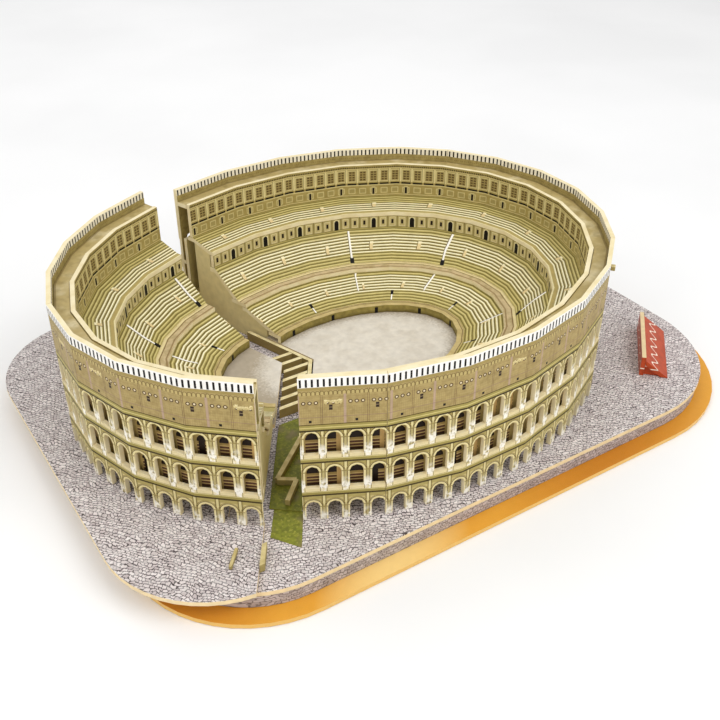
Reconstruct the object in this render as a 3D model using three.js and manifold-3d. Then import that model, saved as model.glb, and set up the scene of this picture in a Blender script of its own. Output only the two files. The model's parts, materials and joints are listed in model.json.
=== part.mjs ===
// A foam-board model of an oval amphitheatre on a display base.
// Everything is cut from one thickness of foam board. The wall ring has 24 flat facets and is cut in two
// along a V-shaped line: the long right section is fixed to the base, and the short left section stands on
// a board of its own and slides along the base. Millimetres, +Z up, the origin under the arena's centre on
// the base's underside, X along the base.
import * as THREE from 'three';
import { mergeVertices } from 'three/addons/utils/BufferGeometryUtils.js';
import Module from 'manifold-3d';

const wasm = await Module();
wasm.setup();

// Boards and clearances
const board = 2.5;
const gap = 0.3;
const weld = 1e-4;
const fineDetail = 0.02;

// Base
const baseLeft = -172;
const baseRight = 200;
const baseHalfDepth = 137;
const baseRightCorner = 75;
const baseLeftCorner = 59;
const goldLedge = 9;
const riserHeight = 8.5;
const riserInset = 1;
const cornerSteps = 6;

// Oval wall ring: outer half axes, and where its front and back stretches meet its end stretches
const ringHalfLength = 155;
const ringHalfWidth = 130.3;
const shoulderX = 98;
const frontFacets = 5;
const endFacets = 7;
const frontBays = 19;
const endBays = 21;

// Storey heights above the board that the wall stands on
const storeyOne = 17.3;
const storeyTwo = 38.3;
const storeyThree = 57.7;
const wallTop = 87.2;
const archWidth = 7.0;
const archSteps = 4;
const leastArchWidth = 0.2;
const groundArchTop = 12.2;
const upperArchSill = 3.4;
const upperArchHeight = 14.0;

// Galleries and the walk behind the attic
const galleryDepth = 5;
const walkDrop = 7.8;
const atticOffset = 11.2;
const atticDrop = 7;

// Seating, as steps in from the outer wall and heights above the section's board
const upperTierFoot = 28.2;
const upperTierEdge = 31.4;
const upperTierFall = 4.4;
const doorWallHeight = 0.142 * storeyThree;
const middleTierFoot = 50;
const middleTierFall = 0.286 * storeyThree;
const ledgeEdge = 57.5;
const lowerTierFoot = 82;
const podiumEdge = 86.5;
const podiumTop = 0.208 * storeyThree;
const arenaTop = 6.5;
const seatRest = 4;

// How far each seating board runs in under the piece above it
const upperTuck = 2;
const upperFootTuck = 0.6;
const middleTuck = 1;
const ledgeTuck = 1.5;
const lowerTuck = 3.5;
const podiumTuck = 1;
const floorTuck = 2;

// The V-shaped cut and the opening
const cutPointX = -25;
const cutPointY = 12;
const cutBackVertex = 16;
const opening = 20;
const closedGap = 0.4;
const endWallSetback = 1.2;

// The low rail outside the facade, along the left board's cut edge
const railDistance = 155;
const railHeight = 2.4;
const railHalfDepth = 6;

// Trench between the sections
const trenchWallPitch = 7.75;
const trenchWallCount = 7;
const trenchWallBack = 26;
const trenchMargin = 0.9;
const trenchSideReach = 36;
const matThickness = 0.6;
const matClearance = 5.75;

// Ruined walls on the grass: bends as [share of the cut's front leg, shift along the slide]
const ruinHeight = 4.6;
const ruinBends = [[0.53, -4.5], [0.755, -16], [0.79, -5], [0.9, -9]];

// Nameplate
const plateLength = 54;
const plateWidth = 17;
const plateHeight = 13;
const plateX = 163;
const plateY = -89;
const plateTurn = Math.PI / 4;
const cheekInset = 1.5;

const boardTop = board + riserHeight + board;
const sectionLift = board + gap;
const galleryReach = atticOffset + board - gap;
const lastTrenchWall = trenchWallBack - trenchWallPitch * (trenchWallCount - 1);
const facetTotal = 2 * (frontFacets + endFacets);
const far = 400;

// ---------- solids ----------

function toSolid(geometry) {
  const plain = geometry.index ? geometry.toNonIndexed() : geometry;
  plain.deleteAttribute('normal');
  plain.deleteAttribute('uv');
  const merged = mergeVertices(plain, weld);
  const vertProperties = new Float32Array(merged.attributes.position.array);
  const triVerts = new Uint32Array(merged.index.array);
  return new wasm.Manifold(new wasm.Mesh({ numProp: 3, vertProperties, triVerts }));
}

function toGeometry(solid) {
  const mesh = solid.simplify(fineDetail).getMesh();
  const geometry = new THREE.BufferGeometry();
  geometry.setAttribute('position', new THREE.BufferAttribute(new Float32Array(mesh.vertProperties), 3));
  geometry.setIndex(new THREE.BufferAttribute(new Uint32Array(mesh.triVerts), 1));
  geometry.computeVertexNormals();
  return geometry;
}

function prism(points, bottom, top) {
  const shape = new THREE.Shape(points.map(([x, y]) => new THREE.Vector2(x, y)));
  const geometry = new THREE.ExtrudeGeometry(shape, { depth: top - bottom, bevelEnabled: false });
  geometry.translate(0, 0, bottom);
  return toSolid(geometry);
}

// A board standing on edge: its outline is drawn in (along, up) and it is centred on its own plane
function standingBoard(outline, startX, startY, angle, thickness = board) {
  const shape = new THREE.Shape(outline.map(([along, up]) => new THREE.Vector2(along, up)));
  const geometry = new THREE.ExtrudeGeometry(shape, { depth: thickness, bevelEnabled: false });
  geometry.translate(0, 0, -thickness / 2);
  geometry.rotateX(Math.PI / 2);
  geometry.rotateZ(angle);
  geometry.translate(startX, startY, 0);
  return toSolid(geometry);
}

// ---------- the oval ----------

function ovalAngles() {
  const shoulder = Math.acos(shoulderX / ringHalfLength);
  const arcs = [
    [shoulder - Math.PI, -shoulder, frontFacets],
    [-shoulder, shoulder, endFacets],
    [shoulder, Math.PI - shoulder, frontFacets],
    [Math.PI - shoulder, Math.PI + shoulder, endFacets],
  ];
  const angles = [];
  for (const [start, end, facets] of arcs) {
    for (let facet = 0; facet < facets; facet += 1) {
      angles.push(angleAlong(start, end, facet / facets));
    }
  }
  return angles;
}

// The angle that lies a share of the arc length from start to end
function angleAlong(start, end, share) {
  const steps = 400;
  const step = (end - start) / steps;
  const lengths = [0];
  for (let index = 0; index < steps; index += 1) {
    const middle = start + (index + 0.5) * step;
    const speed = Math.hypot(ringHalfLength * Math.sin(middle), ringHalfWidth * Math.cos(middle));
    lengths.push(lengths[index] + speed * step);
  }
  const wanted = share * lengths[steps];
  const found = lengths.findIndex((length) => length >= wanted);
  return start + found * step;
}

const facetAngles = ovalAngles();

function ringPoint(vertex, offset) {
  const angle = facetAngles[(vertex + facetTotal) % facetTotal];
  return [(ringHalfLength - offset) * Math.cos(angle), (ringHalfWidth - offset) * Math.sin(angle)];
}

function ovalOutline(offset) {
  return facetAngles.map((angle, vertex) => ringPoint(vertex, offset));
}

// A closed profile of [offset, height] points, listed anticlockwise with the offset to the right,
// carried round the whole oval
function ovalRing(profile) {
  const closed = [...profile, profile[0]].reverse();
  const points = closed.map(([offset, height]) => new THREE.Vector2(ringHalfWidth - offset, height));
  const geometry = new THREE.LatheGeometry(points, facetTotal);
  const position = geometry.attributes.position;
  for (let index = 0; index < position.count; index += 1) {
    const vertex = Math.floor(index / closed.length) % facetTotal;
    const [offset, height] = closed[index % closed.length];
    const [x, y] = ringPoint(vertex, offset);
    position.setXYZ(index, x, y, height);
  }
  return toSolid(geometry);
}

function rectangleProfile(inner, outer, bottom, top) {
  return [[inner, bottom], [outer, bottom], [outer, top], [inner, top]];
}

// ---------- the cut ----------

const cutFront = ringPoint(0, 0);
const cutBack = ringPoint(cutBackVertex, 0);
const chordAngle = Math.atan2(cutBack[0] - cutFront[0], cutBack[1] - cutFront[1]);
const slideX = Math.cos(chordAngle);
const slideY = -Math.sin(chordAngle);

function pointBeyond([x, y], reach) {
  const length = Math.hypot(x - cutPointX, y - cutPointY);
  return [cutPointX + ((x - cutPointX) * reach) / length, cutPointY + ((y - cutPointY) * reach) / length];
}

// The cut line from back to front, moved along the slide
function cutLine(shift) {
  const points = [pointBeyond(cutBack, far), [cutPointX, cutPointY], pointBeyond(cutFront, far)];
  return points.map(([x, y]) => [x + shift * slideX, y + shift * slideY]);
}

function rightRegion(bottom, top, shift = 0) {
  return prism([...cutLine(shift), [far, -far], [far, far]], bottom, top);
}

function leftRegion(bottom, top, shift = 0) {
  return prism([...cutLine(shift).reverse(), [-far, far], [-far, -far]], bottom, top);
}

// Everything between two lines that run along X
function acrossWindow(low, high, bottom, top) {
  return prism([[-far, low], [far, low], [far, high], [-far, high]], bottom, top);
}

// The band of ground between the cut line at two shifts
function cutBand(fromShift, toShift, bottom, top) {
  return prism([...cutLine(fromShift), ...cutLine(toShift).reverse()], bottom, top);
}

// ---------- base ----------

function baseOutline(grow) {
  const rightRadius = baseRightCorner + grow;
  const leftRadius = baseLeftCorner + grow;
  const left = baseLeft - grow;
  const right = baseRight + grow;
  const half = baseHalfDepth + grow;
  const shape = new THREE.Shape();
  const turn = Math.PI / 2;
  shape.absarc(right - rightRadius, half - rightRadius, rightRadius, 0, turn, false);
  shape.absarc(left + leftRadius, half - leftRadius, leftRadius, turn, 2 * turn, false);
  shape.absarc(left + leftRadius, leftRadius - half, leftRadius, 2 * turn, 3 * turn, false);
  shape.absarc(right - rightRadius, rightRadius - half, rightRadius, 3 * turn, 4 * turn, false);
  return shape.getPoints(cornerSteps).map((point) => [point.x, point.y]);
}

function riserSide(outer, inner, corner) {
  const [x0, y0, x1, y1] = corner;
  const window = prism([[x0, y0], [x1, y0], [x1, y1], [x0, y1]], 0, boardTop);
  return outer.subtract(inner).intersect(window);
}

function basePieces() {
  const bottom = board + gap;
  const top = board + riserHeight - gap;
  const outer = prism(baseOutline(-riserInset), bottom, top);
  const inner = prism(baseOutline(-riserInset - board), bottom - 1, top + 1);
  const middleX = (baseLeft + baseRight) / 2;
  const half = gap / 2;
  const quarters = {
    riser_front_left: [-far, -far, middleX - half, -half],
    riser_front_right: [middleX + half, -far, far, -half],
    riser_back_right: [middleX + half, half, far, far],
    riser_back_left: [-far, half, middleX - half, far],
  };
  const pieces = { gold_base_board: prism(baseOutline(goldLedge), 0, board) };
  for (const [name, corner] of Object.entries(quarters)) {
    pieces[name] = riserSide(outer, inner, corner);
  }
  pieces.base_cobble_board = prism(baseOutline(0), boardTop - board, boardTop);
  return pieces;
}

// ---------- facade ----------

// An arch opening in (along, up), clipped to one facet
function archOutline(centre, sill, top, width, low, high) {
  const radius = width / 2;
  const spring = top - radius;
  const outline = [[centre - radius, sill], [centre + radius, sill]];
  for (let step = 0; step <= archSteps; step += 1) {
    const turn = (Math.PI * step) / archSteps;
    outline.push([centre + radius * Math.cos(turn), spring + radius * Math.sin(turn)]);
  }
  return clipSide(clipSide(outline, low, 1), high, -1);
}

// Keeps the part of an outline on one side of an upright line
function clipSide(outline, limit, sign) {
  const kept = [];
  outline.forEach((point, index) => {
    const next = outline[(index + 1) % outline.length];
    const inside = sign * (point[0] - limit) >= 0;
    const nextInside = sign * (next[0] - limit) >= 0;
    if (inside) kept.push(point);
    if (inside !== nextInside) {
      const share = (limit - point[0]) / (next[0] - point[0]);
      kept.push([limit, point[1] + share * (next[1] - point[1])]);
    }
  });
  return kept;
}

// The stretches of the oval: first facet, facets and bays of each
const stretches = [
  { first: 0, facets: frontFacets, bays: frontBays },
  { first: frontFacets, facets: endFacets, bays: endBays },
  { first: frontFacets + endFacets, facets: frontFacets, bays: frontBays },
  { first: 2 * frontFacets + endFacets, facets: endFacets, bays: endBays },
];

function facetFrame(facet) {
  const [x0, y0] = ringPoint(facet, 0);
  const [x1, y1] = ringPoint(facet + 1, 0);
  return { x0, y0, length: Math.hypot(x1 - x0, y1 - y0), angle: Math.atan2(y1 - y0, x1 - x0) };
}

// Cutters for every arch on one facet; the bays run on across the folds of their stretch
function facetArches(facet) {
  const stretch = stretches.find((item) => facet >= item.first && facet < item.first + item.facets);
  const frames = [];
  for (let index = 0; index < stretch.facets; index += 1) {
    frames.push(facetFrame(stretch.first + index));
  }
  const total = frames.reduce((sum, frame) => sum + frame.length, 0);
  const pitch = total / stretch.bays;
  const place = facet - stretch.first;
  const start = frames.slice(0, place).reduce((sum, frame) => sum + frame.length, 0);
  const frame = frames[place];
  const openings = [
    [-gap, groundArchTop],
    [storeyOne + upperArchSill, storeyOne + upperArchSill + upperArchHeight],
    [storeyTwo + upperArchSill, storeyTwo + upperArchSill + upperArchHeight],
  ];
  const cutters = [];
  for (let bay = 0; bay < stretch.bays; bay += 1) {
    const centre = (bay + 0.5) * pitch - start;
    const left = centre - archWidth / 2;
    const right = centre + archWidth / 2;
    if (right <= leastArchWidth || left >= frame.length - leastArchWidth) continue;
    for (const [sill, top] of openings) {
      const outline = archOutline(centre, sill, top, archWidth, 0, frame.length);
      cutters.push(standingBoard(outline, frame.x0, frame.y0, frame.angle, 4 * board));
    }
  }
  return cutters;
}

function facadePanel(firstFacet, facets) {
  const outline = [];
  for (let vertex = firstFacet; vertex <= firstFacet + facets; vertex += 1) {
    outline.push(ringPoint(vertex, 0));
  }
  for (let vertex = firstFacet + facets; vertex >= firstFacet; vertex -= 1) {
    outline.push(ringPoint(vertex, board));
  }
  let wall = prism(outline, gap, wallTop);
  for (let facet = firstFacet; facet < firstFacet + facets; facet += 1) {
    for (const cutter of facetArches(facet)) {
      wall = wall.subtract(cutter);
    }
  }
  return wall;
}

// Leaves a joint of the usual gap between neighbouring panels, centred on a fold
function foldJoint(vertex) {
  const [x, y] = ringPoint(vertex, 0);
  const [innerX, innerY] = ringPoint(vertex, board);
  const angle = Math.atan2(innerY - y, innerX - x);
  const outline = [[-board, -1], [2 * board, -1], [2 * board, wallTop + 1], [-board, wallTop + 1]];
  return standingBoard(outline, x, y, angle, gap);
}

// ---------- rings of one section ----------

const doorFoot = storeyThree - gap - upperTierFall - board - gap - doorWallHeight;
const middleTop = doorFoot - gap;
const ledgeTop = middleTop - middleTierFall - 2 * gap;
const lowerTop = ledgeTop - board - gap;
const lowerFoot = podiumTop + gap;

function slopeDrop(run, fall) {
  return board * Math.hypot(1, fall / run);
}

const upperDrop = slopeDrop(upperTierFoot - atticOffset - board, upperTierFall);
const middleDrop = slopeDrop(middleTierFoot - upperTierEdge, middleTierFall);
const lowerDrop = slopeDrop(lowerTierFoot - ledgeEdge, lowerTop - lowerFoot);
const upperTop = storeyThree - gap;
const upperStart = atticOffset + board + gap;
const middleStart = upperTierFoot - middleTuck;
const lowerStart = ledgeEdge - lowerTuck;
const middleFootOffset = middleTierFoot - ((middleTierFoot - upperTierEdge) * middleDrop) / middleTierFall;
const lowerFootOffset = lowerTierFoot - ((lowerTierFoot - ledgeEdge) * lowerDrop) / (lowerTop - lowerFoot);
const ledgeStart = middleFootOffset - ledgeTuck;
const podiumStart = lowerFootOffset + podiumTuck;
const floorOffset = podiumStart - floorTuck;

const ringProfiles = {
  lower_gallery_floor: rectangleProfile(board + gap, galleryReach, storeyOne - board, storeyOne),
  upper_gallery_floor: rectangleProfile(board + gap, galleryDepth - gap, storeyTwo - board, storeyTwo),
  gallery_back_wall: rectangleProfile(
    galleryDepth, galleryDepth + board, storeyOne + gap, upperTop - upperDrop - gap),
  wall_walk: rectangleProfile(
    board + gap, atticOffset - gap, wallTop - walkDrop - board, wallTop - walkDrop),
  attic_inner_wall: rectangleProfile(
    atticOffset, atticOffset + board, storeyThree, wallTop - atticDrop),
  upper_seating: [
    [atticOffset - upperTuck, upperTop - upperDrop],
    [upperStart, upperTop - upperDrop],
    [upperTierFoot - upperFootTuck, upperTop - upperTierFall - board],
    [upperTierEdge, upperTop - upperTierFall - board],
    [upperTierEdge, upperTop - upperTierFall],
    [upperTierFoot, upperTop - upperTierFall],
    [upperStart, upperTop],
    [atticOffset - upperTuck, upperTop],
  ],
  door_wall: rectangleProfile(
    upperTierEdge - board - gap, upperTierEdge - gap, doorFoot, doorFoot + doorWallHeight),
  middle_seating: [
    [middleStart, middleTop - middleDrop],
    [upperTierEdge, middleTop - middleDrop],
    [middleFootOffset, ledgeTop + gap],
    [middleTierFoot, ledgeTop + gap],
    [middleTierFoot, ledgeTop + 2 * gap],
    [upperTierEdge, middleTop],
    [middleStart, middleTop],
  ],
  middle_ledge: rectangleProfile(ledgeStart, ledgeEdge, ledgeTop - board, ledgeTop),
  lower_seating: [
    [lowerStart, lowerTop - lowerDrop],
    [ledgeEdge, lowerTop - lowerDrop],
    [lowerFootOffset, lowerFoot],
    [lowerTierFoot, lowerFoot],
    [lowerTierFoot, lowerFoot + gap],
    [ledgeEdge, lowerTop],
    [lowerStart, lowerTop],
  ],
  podium: [
    [podiumStart, podiumTop - board],
    [podiumEdge - board, podiumTop - board],
    [podiumEdge - board, arenaTop + gap],
    [podiumEdge, arenaTop + gap],
    [podiumEdge, podiumTop],
    [podiumStart, podiumTop],
  ],
};

// The space under the seats, a gap clear of every board above it; if it starts low enough, it runs on
// under the arena floor's edge
function underSeating(bottom) {
  const underFloor = arenaTop - board - gap;
  const edge = podiumEdge - board - gap;
  const low = [[edge, bottom], [edge, underFloor], [floorOffset - gap, underFloor]];
  const high = [[floorOffset - gap, bottom]];
  return [
    [galleryReach + gap, bottom],
    ...(bottom < underFloor ? low : high),
    [floorOffset - gap, lowerFoot - gap],
    [lowerFootOffset - gap, lowerFoot - gap],
    [ledgeEdge, lowerTop - lowerDrop - gap],
    [lowerStart - gap, lowerTop - lowerDrop - gap],
    [lowerStart - gap, ledgeTop - board - gap],
    [ledgeStart - gap, ledgeTop - board - gap],
    [ledgeStart - gap, ledgeTop + gap],
    [upperTierEdge, middleTop - middleDrop - 2 * gap],
    [middleStart - gap, middleTop - middleDrop - 2 * gap],
    [middleStart - gap, upperTop - upperTierFall - board - gap],
    [upperStart, upperTop - upperDrop - 2 * gap],
    [galleryReach + gap, upperTop - upperDrop - 2 * gap],
  ];
}

function ribBoard(vertex) {
  const [x, y] = ringPoint(vertex, 0);
  const [innerX, innerY] = ringPoint(vertex, podiumEdge);
  return standingBoard(underSeating(gap), x, y, Math.atan2(innerY - y, innerX - x));
}

// End walls close the seats along both legs of the cut
function endWalls(fromShift, toShift, bottom) {
  const space = ovalRing(underSeating(bottom));
  const band = cutBand(fromShift, toShift, 0, wallTop);
  const both = space.intersect(band);
  const back = acrossWindow(cutPointY, far, 0, wallTop);
  return { back_end_wall: both.intersect(back), front_end_wall: both.subtract(back) };
}

// The rings, floor and end walls that both sections have, cut to the section's side of the line
function sectionPieces(side, region, wallBottom, wallShifts) {
  const pieces = {};
  for (const [name, profile] of Object.entries(ringProfiles)) {
    pieces[`${side}_${name}`] = ovalRing(profile).intersect(region);
  }
  const floor = prism(ovalOutline(floorOffset), arenaTop - board, arenaTop);
  pieces[`${side}_arena_floor`] = floor.intersect(region);
  for (const [name, wall] of Object.entries(endWalls(...wallShifts, wallBottom))) {
    pieces[`${side}_${name}`] = wall;
  }
  return pieces;
}

function facadePieces(side, region, panels) {
  const pieces = {};
  panels.forEach(([first, facets], index) => {
    let panel = facadePanel(first, facets);
    for (const vertex of [first, first + facets]) {
      panel = panel.subtract(foldJoint(vertex));
    }
    pieces[`${side}_facade_${index + 1}`] = panel.intersect(region);
  });
  return pieces;
}

function ribPieces(side, vertices) {
  const pieces = {};
  vertices.forEach((vertex, index) => {
    pieces[`${side}_seat_rib_${index + 1}`] = ribBoard(vertex);
  });
  return pieces;
}

function rightSection() {
  const region = rightRegion(-1, wallTop + 1);
  return {
    ...facadePieces('right', region, [[0, 1], [1, 5], [6, 5], [11, 5]]),
    ...sectionPieces('right', region, gap, [endWallSetback, endWallSetback + board]),
    ...ribPieces('right', [4, 9, 13]),
  };
}

// A low rail just beyond the left board's cut edge, outside the facade
function edgeRail() {
  const inner = gap - closedGap;
  const strip = cutBand(inner, inner + board, gap - board, railHeight);
  const railY = pointBeyond(cutFront, railDistance)[1];
  return strip.intersect(acrossWindow(railY - railHalfDepth, railY + railHalfDepth, -board, wallTop));
}

function leftSection() {
  const region = leftRegion(-board - 1, wallTop + 1, -closedGap);
  const wallOuter = -closedGap - endWallSetback;
  const pieces = {
    ...facadePieces('left', region, [[16, 4], [20, 4]]),
    ...sectionPieces('left', region, seatRest + gap / 2, [wallOuter - board, wallOuter]),
    ...ribPieces('left', [20]),
  };
  const opened = prism(ovalOutline(2 * board), -board - 1, 1)
    .intersect(rightRegion(-board - 1, 1, -opening - closedGap - gap));
  pieces.left_cobble_board = prism(baseOutline(0), -board, 0).intersect(region).subtract(opened);
  pieces.left_edge_rail = edgeRail();
  return pieces;
}

// ---------- trench ----------

function trenchPieces() {
  const bottom = gap;
  const top = arenaTop - gap / 2;
  const back = cutBand(-opening + trenchMargin, -trenchMargin, bottom, top);
  const side = cutBand(-trenchMargin - board, -trenchMargin, bottom, top);
  const pieces = {};
  const sideWindow = acrossWindow(lastTrenchWall - board / 2, trenchWallBack + trenchSideReach, 0, top);
  pieces.trench_side_wall = side.intersect(sideWindow);
  const clear = side.add(cutBand(-trenchMargin - board - gap, -trenchMargin, bottom - 1, top + 1));
  for (let wall = 0; wall < trenchWallCount; wall += 1) {
    const y = trenchWallBack - wall * trenchWallPitch;
    const slab = back.intersect(acrossWindow(y - board / 2, y + board / 2, 0, top)).subtract(clear);
    pieces[`trench_cross_wall_${wall + 1}`] = slab;
  }
  return pieces;
}

function ruinPieces() {
  const foot = matThickness + 2 * gap;
  const alongX = cutFront[0] - cutPointX;
  const alongY = cutFront[1] - cutPointY;
  const bends = ruinBends.map(([share, shift]) => [
    cutPointX + alongX * share + shift * slideX,
    cutPointY + alongY * share + shift * slideY,
  ]);
  const walls = bends.slice(1).map(([toX, toY], index) => {
    const [fromX, fromY] = bends[index];
    const length = Math.hypot(toX - fromX, toY - fromY);
    const outline = [[0, foot], [length, foot], [length, ruinHeight], [0, ruinHeight]];
    return standingBoard(outline, fromX, fromY, Math.atan2(toY - fromY, toX - fromX));
  });
  const mat = cutBand(-opening + trenchMargin, -trenchMargin, gap, gap + matThickness);
  const matBack = lastTrenchWall - board / 2 - matClearance;
  const inside = prism(ovalOutline(2 * board + 2 * gap), -1, wallTop);
  return {
    trench_grass_mat: mat.intersect(acrossWindow(-far, matBack, -1, wallTop)).intersect(inside),
    trench_ruin_wall: walls.reduce((whole, wall) => whole.add(wall)),
  };
}

// ---------- nameplate ----------

function nameplatePieces() {
  const half = plateLength / 2;
  const slope = Math.atan2(plateHeight - board, plateWidth - board);
  const lean = [[0, gap], [board, gap], [board, plateHeight], [0, plateHeight]];
  const runX = board + gap;
  const footX = plateWidth;
  const rise = (footX - runX) * Math.tan(slope);
  const drop = board / Math.cos(slope);
  const innerFoot = footX - drop / Math.tan(slope);
  const face = [[runX, gap + rise], [footX, gap], [innerFoot, gap], [runX, gap + rise - drop]];
  const cheek = [[runX, gap], [innerFoot - 2 * gap, gap], [runX, rise - drop - gap]];
  // Drawn in (out, up), and carried along the plate's length
  const carry = (outline, from, to) => {
    const shape = new THREE.Shape(outline.map(([out, up]) => new THREE.Vector2(out, up)));
    const geometry = new THREE.ExtrudeGeometry(shape, { depth: to - from, bevelEnabled: false });
    geometry.translate(-plateWidth / 2, 0, from);
    geometry.rotateX(Math.PI / 2);
    geometry.rotateZ(-plateTurn);
    geometry.translate(plateX, plateY, 0);
    return toSolid(geometry);
  };
  return {
    nameplate_back: carry(lean, -half, half),
    nameplate_face: carry(face, -half, half),
    nameplate_near_cheek: carry(cheek, half - cheekInset - board, half - cheekInset),
    nameplate_far_cheek: carry(cheek, cheekInset - half, cheekInset + board - half),
  };
}

// ---------- finishes ----------

function finish(colour, roughness) {
  return new THREE.MeshStandardMaterial({ color: colour, roughness, metalness: 0 });
}

const finishes = [
  ['gold', () => finish(0xd9962e, 0.35)],
  ['riser', () => finish(0xa49c9c, 0.8)],
  ['cobble', () => finish(0xc4bdc0, 0.8)],
  ['arena', () => finish(0xd8cfbf, 0.85)],
  ['grass', () => finish(0x8f8f3c, 0.9)],
  ['trench', () => finish(0xa8935c, 0.85)],
  ['nameplate', () => finish(0xb94a26, 0.5)],
];

function finishFor(name) {
  const match = finishes.find(([word]) => name.includes(word));
  return match ? match[1]() : finish(0xbfae74, 0.8);
}

// ---------- assembly ----------

function addPieces(group, pieces) {
  for (const [name, solid] of Object.entries(pieces)) {
    const mesh = new THREE.Mesh(toGeometry(solid), finishFor(name));
    mesh.name = name;
    group.add(mesh);
  }
}

const model = new THREE.Group();
addPieces(model, basePieces());

const fixedSection = new THREE.Group();
fixedSection.position.set(0, 0, boardTop);
addPieces(fixedSection, rightSection());
addPieces(fixedSection, trenchPieces());
addPieces(fixedSection, ruinPieces());
addPieces(fixedSection, nameplatePieces());
model.add(fixedSection);

const slidingSection = new THREE.Group();
slidingSection.position.set(-opening * slideX, -opening * slideY, boardTop + sectionLift);
addPieces(slidingSection, leftSection());
model.add(slidingSection);

export default model;
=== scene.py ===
# A printed foam-board amphitheatre on its display base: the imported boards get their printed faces, cream cut
# edges and small printed-card details.
import json
import math

import bpy
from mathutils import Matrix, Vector

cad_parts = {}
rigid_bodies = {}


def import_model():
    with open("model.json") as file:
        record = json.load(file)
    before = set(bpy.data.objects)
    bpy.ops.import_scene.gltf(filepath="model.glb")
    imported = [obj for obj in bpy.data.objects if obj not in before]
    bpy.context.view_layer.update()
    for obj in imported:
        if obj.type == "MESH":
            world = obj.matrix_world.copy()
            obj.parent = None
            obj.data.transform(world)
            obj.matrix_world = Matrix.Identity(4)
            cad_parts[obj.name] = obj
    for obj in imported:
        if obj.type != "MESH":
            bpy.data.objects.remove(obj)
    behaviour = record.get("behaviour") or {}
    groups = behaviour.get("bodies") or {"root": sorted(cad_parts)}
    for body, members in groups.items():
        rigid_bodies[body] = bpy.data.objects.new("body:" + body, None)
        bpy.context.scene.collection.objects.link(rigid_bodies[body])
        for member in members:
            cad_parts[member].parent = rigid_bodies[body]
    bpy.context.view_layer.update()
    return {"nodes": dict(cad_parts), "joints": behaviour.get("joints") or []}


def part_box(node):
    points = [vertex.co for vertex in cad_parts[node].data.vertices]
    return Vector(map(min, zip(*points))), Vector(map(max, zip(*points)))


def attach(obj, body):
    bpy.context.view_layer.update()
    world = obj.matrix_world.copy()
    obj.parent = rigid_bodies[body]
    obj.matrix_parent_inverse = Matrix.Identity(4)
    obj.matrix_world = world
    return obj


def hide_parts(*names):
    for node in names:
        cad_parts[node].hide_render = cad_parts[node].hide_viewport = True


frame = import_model()
nodes = frame["nodes"]

MM = 1000.0                # millimetres in a metre
WELD = 1e-6                # metres; points closer than this are one
BASE = "base_and_right_section"
LEFT = "left_section"

# The oval outer wall in millimetres, as the boards are cut
HALF_LENGTH = 155.0
HALF_WIDTH = 130.3
SHOULDER = 98.0            # how far along the oval its ends turn into its sides
BAY = 11.2                 # one arch of the wall
PANEL = 8.4                # one panel of the walls inside
# its four stretches, front, right, back and left: first fold, number of facets, number of bays
STRETCHES = ((0, 5, 19), (5, 7, 21), (12, 5, 19), (17, 7, 21))
BACK_CUT = 16              # the fold at which the left section begins; it ends at fold 0, the front cut

# the top of each section's paved board, and the way the left section slides
BASE_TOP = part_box("base_cobble_board")[1].z * MM
LEFT_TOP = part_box("left_cobble_board")[1].z * MM
SLIDE_AXIS = next(j for j in frame["joints"] if j["name"] == "left_section_slide")["axis"]
OPENING = 20.0             # millimetres that the left section stands open


# ---------- colours and nodes ----------

def linear(code):
    """An sRGB hex colour as the linear values that a shader takes."""
    parts = [int(code[i:i + 2], 16) / 255 for i in (1, 3, 5)]
    return tuple(c / 12.92 if c <= 0.04045 else ((c + 0.055) / 1.055) ** 2.4 for c in parts) + (1.0,)


def add(tree, kind, links=None, out=0, **settings):
    """Adds one node with its settings, values and links, and gives the output or outputs wanted."""
    made = tree.nodes.new(kind)
    for name, value in settings.items():
        setattr(made, name, value)
    for key, value in (links or {}).items():
        if isinstance(value, bpy.types.NodeSocket):
            tree.links.new(value, made.inputs[key])
        else:
            made.inputs[key].default_value = value
    return made.outputs[out] if made.outputs else None


AXES = slice(0, 3)         # the three outputs of a split vector


def new_material(name):
    """A material with an empty tree, the tree, and the spot on the piece that its patterns read."""
    material = bpy.data.materials.new(name)
    material.use_nodes = True
    tree = material.node_tree
    tree.nodes.clear()
    return material, tree, add(tree, "ShaderNodeTexCoord", out="Object")


# ---------- printed patterns ----------

def stripe(tree, value, centre, half, pitch=0.0):
    """A mask that is 1 within half of a centre, repeated at a pitch if there is one."""
    if pitch:
        limits = {0: value, 1: centre + pitch / 2, 2: centre - pitch / 2}
        value = add(tree, "ShaderNodeMath", limits, operation="WRAP")
    return add(tree, "ShaderNodeMath", {0: value, 1: centre, 2: half}, operation="COMPARE")


def between(tree, value, low, high):
    """A mask that is 1 from one place to another."""
    return stripe(tree, value, (low + high) / 2, (high - low) / 2)


def ink(tree, under, colour, *masks, share=1.0):
    """Lays one printed ink over what is under it, where all its masks meet."""
    cover = share
    for mask in masks:
        cover = add(tree, "ShaderNodeMath", {0: mask, 1: cover}, operation="MULTIPLY")
    over = linear(colour) if isinstance(colour, str) else colour
    bottom = linear(under) if isinstance(under, str) else under
    return add(tree, "ShaderNodeMix", {0: cover, 6: bottom, 7: over}, out=2, data_type="RGBA")


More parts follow.
